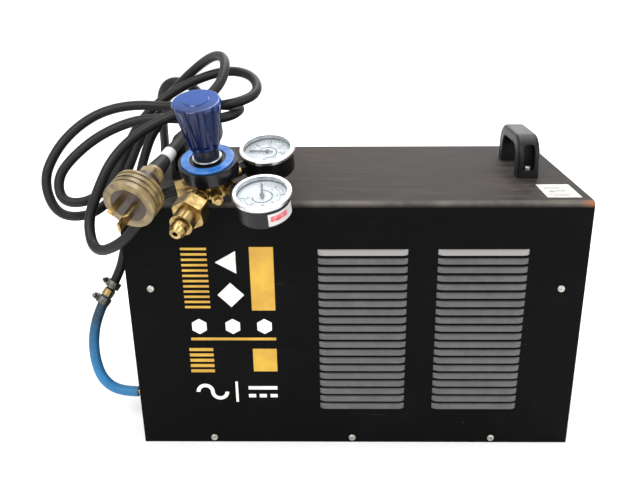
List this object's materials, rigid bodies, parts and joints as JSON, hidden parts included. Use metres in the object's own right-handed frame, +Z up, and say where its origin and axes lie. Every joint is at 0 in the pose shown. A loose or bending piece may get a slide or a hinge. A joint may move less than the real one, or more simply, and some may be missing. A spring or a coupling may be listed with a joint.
{
  "type": "tig welding machine",
  "caption": "Portable inverter TIG welding power source in a louvred steel case, with handles, gas regulator, hoses, mains cable and plug.",
  "frame": {"origin": "centre of the underside of the case", "axes": "+Z up, +X towards the end with the control panel, -Y towards the long side with the regulator"},
  "size_m": [0.6124, 0.3793, 0.4201],
  "materials": {
    "case_black": "semi-matt powder coat",
    "pan_steel": "semi-matt powder coat",
    "black_plastic": "moulded, fine grain",
    "screw_steel": "zinc plated",
    "core_steel": "varnished laminations",
    "copper": "enamelled copper wire",
    "alloy": "extruded",
    "board_green": "solder resist",
    "fan_black": "moulded",
    "guard_wire": "bright plated",
    "brass": "machined",
    "clear_tube": "soft tube",
    "socket_brass": "moulded over brass",
    "window_smoke": "smoked",
    "lamp_amber": "translucent",
    "bonnet_black": "lacquered",
    "knob_blue": "moulded, translucent",
    "gauge_black": "gloss enamel",
    "gauge_bezel": "satin",
    "pointer_black": "matt",
    "plug_amber": "aged, moulded",
    "plug_dark": "moulded",
    "cable_rubber": "rubber sheath",
    "hose_black": "rubber, fabric lined",
    "hose_blue": "rubber"
  },
  "bodies": {
    "machine": {"base_pan": "pan_steel", "black_gas_hose": "hose_black", "blue_gas_hose": "hose_blue", "bonnet_ring": "knob_blue", "cable_gland": "black_plastic", "capacitors": "fan_black", "circuit_boards": "board_green", "control_panel": "case_black", "cover_screws": "screw_steel", "display_window": "window_smoke", "fan_frame": "fan_black", "fan_guard": "guard_wire", "fan_screws": "screw_steel", "gas_inlet_barb": "brass", "gas_outlet": "brass", "gas_valve": "brass", "gauge_bezels": "gauge_bezel", "gauge_cases": "gauge_black", "handle_screws": "screw_steel", "heatsinks": "alloy", "hose_clamps": "screw_steel", "hose_joiner": "brass", "hose_outlet": "brass", "indicator_lamps": "lamp_amber", "inlet_stem": "brass", "inner_gas_tube": "clear_tube", "left_handle": "black_plastic", "mains_switch_body": "black_plastic", "output_choke": "core_steel", "plug_body": "plug_dark", "plug_gland": "plug_amber", "plug_pins": "brass", "potentiometers": "alloy", "power_cable": "cable_rubber", "rear_panel": "case_black", "regulator_body": "brass", "regulator_bonnet": "bonnet_black", "relief_valve": "brass", "right_handle": "black_plastic", "spark_coil": "copper", "switch_bodies": "screw_steel", "top_cover": "case_black", "torch_control_socket": "black_plastic", "transformer_core": "core_steel", "transformer_winding": "copper", "weld_sockets": "socket_brass"},
    "fan": {"fan_rotor": "fan_black"},
    "current_control": {"current_knob": "black_plastic"},
    "slope_control": {"slope_knob": "black_plastic"},
    "balance_control": {"balance_knob": "black_plastic"},
    "ac_dc_lever": {"ac_dc_switch_lever": "screw_steel"},
    "process_lever": {"process_switch_lever": "screw_steel"},
    "trigger_lever": {"trigger_mode_lever": "screw_steel"},
    "mains_rocker": {"mains_switch_rocker": "black_plastic"},
    "adjusting_screw_slide_body": {"adjusting_screw": "screw_steel"},
    "pressure_control": {"pressure_knob": "knob_blue"},
    "front_pointer": {"front_needle": "pointer_black"},
    "rear_pointer": {"rear_needle": "pointer_black"},
    "union_nut": {"inlet_nut": "brass"},
    "plug_screw_ring": {"plug_ring": "plug_amber"}
  },
  "joints": [
    {"name": "fan_spin", "type": "hinge", "parent": "machine", "child": "fan", "pos_m": [-0.2365, -0.01, 0.168], "axis": [1, 0, 0], "continuous": true},
    {"name": "current_knob_turn", "type": "hinge", "parent": "machine", "child": "current_control", "pos_m": [0.238, 0, 0.172], "axis": [1, 0, 0], "range_deg": [-135, 135]},
    {"name": "slope_knob_turn", "type": "hinge", "parent": "machine", "child": "slope_control", "pos_m": [0.238, -0.08, 0.264], "axis": [1, 0, 0], "range_deg": [-135, 135]},
    {"name": "balance_knob_turn", "type": "hinge", "parent": "machine", "child": "balance_control", "pos_m": [0.238, 0.08, 0.264], "axis": [1, 0, 0], "range_deg": [-135, 135]},
    {"name": "ac_dc_switch_throw", "type": "hinge", "parent": "machine", "child": "ac_dc_lever", "pos_m": [0.238, -0.062, 0.122], "axis": [0, 1, 0], "range_deg": [-12, 12]},
    {"name": "process_switch_throw", "type": "hinge", "parent": "machine", "child": "process_lever", "pos_m": [0.238, 0, 0.122], "axis": [0, 1, 0], "range_deg": [-12, 12]},
    {"name": "trigger_mode_switch_throw", "type": "hinge", "parent": "machine", "child": "trigger_lever", "pos_m": [0.238, 0.062, 0.122], "axis": [0, 1, 0], "range_deg": [-12, 12]},
    {"name": "mains_rocker_throw", "type": "hinge", "parent": "machine", "child": "mains_rocker", "pos_m": [-0.238, 0.084, 0.226], "axis": [0, 1, 0], "range_deg": [-8, 8]},
    {"name": "adjusting_screw_advance", "type": "slide", "parent": "machine", "child": "adjusting_screw_slide_body", "axis": [0.0349, 0.3418, -0.9391], "range_m": [0, 0.0046]},
    {"name": "pressure_knob_turn", "type": "hinge", "parent": "adjusting_screw_slide_body", "child": "pressure_control", "pos_m": [-0.14809, -0.13551, 0.36055], "axis": [-0.0349, -0.3418, 0.9391], "range_deg": [-1080, 0]},
    {"name": "front_pointer_turn", "type": "hinge", "parent": "machine", "child": "front_pointer", "pos_m": [-0.09024, -0.15343, 0.29867], "axis": [-0.0349, -0.3418, 0.9391], "range_deg": [-270, 0]},
    {"name": "rear_pointer_turn", "type": "hinge", "parent": "machine", "child": "rear_pointer", "pos_m": [-0.09224, -0.08011, 0.32529], "axis": [-0.0349, -0.3418, 0.9391], "range_deg": [-270, 0]},
    {"name": "union_nut_turn", "type": "hinge", "parent": "machine", "child": "union_nut", "pos_m": [-0.1593, -0.16499, 0.28551], "axis": [-0.2418, -0.9089, -0.3398], "continuous": true},
    {"name": "plug_ring_turn", "type": "hinge", "parent": "machine", "child": "plug_screw_ring", "pos_m": [-0.206, -0.18, 0.305], "axis": [-0.2419, -0.9058, -0.3477], "continuous": true}
  ],
  "couplings": [
    {"joint": "adjusting_screw_advance", "follows": "pressure_knob_turn", "m_per_rad": -0.00023873}
  ]
}
